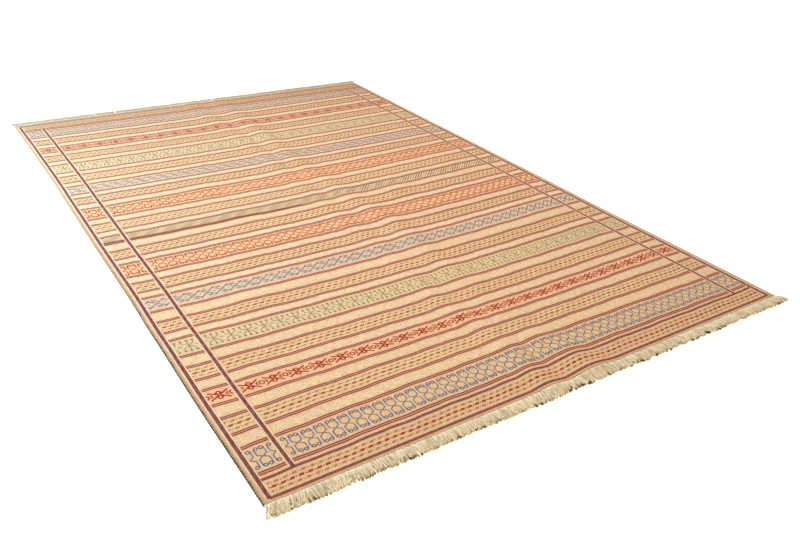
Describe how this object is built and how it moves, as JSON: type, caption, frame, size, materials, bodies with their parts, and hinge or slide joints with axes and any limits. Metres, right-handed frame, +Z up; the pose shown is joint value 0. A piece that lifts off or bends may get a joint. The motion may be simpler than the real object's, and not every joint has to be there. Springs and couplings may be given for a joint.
{
  "type": "kilim rug",
  "caption": "Flat-woven kilim rug lying open on the floor, with banded brocade patterns, overcast side edges and a fringe at each end.",
  "frame": {"origin": "on the floor under the middle of the rug", "axes": "+X across the rug, +Y along it from the near fringe to the far fringe, +Z up from the floor"},
  "size_m": [2.01, 3.0799, 0.016],
  "materials": {
    "woven_cloth": "matt wool flatweave in peach, cream, maroon, brick red, slate blue and olive",
    "overcast_yarn": "matt overcast wool in peach and beige",
    "fringe_cotton": "soft cream cotton warp ends"
  },
  "bodies": {
    "root": {"kilim_cloth": "woven_cloth", "overcast_left": "overcast_yarn", "overcast_right": "overcast_yarn", "fringe_near": "fringe_cotton", "fringe_far": "fringe_cotton"}
  },
  "joints": []
}
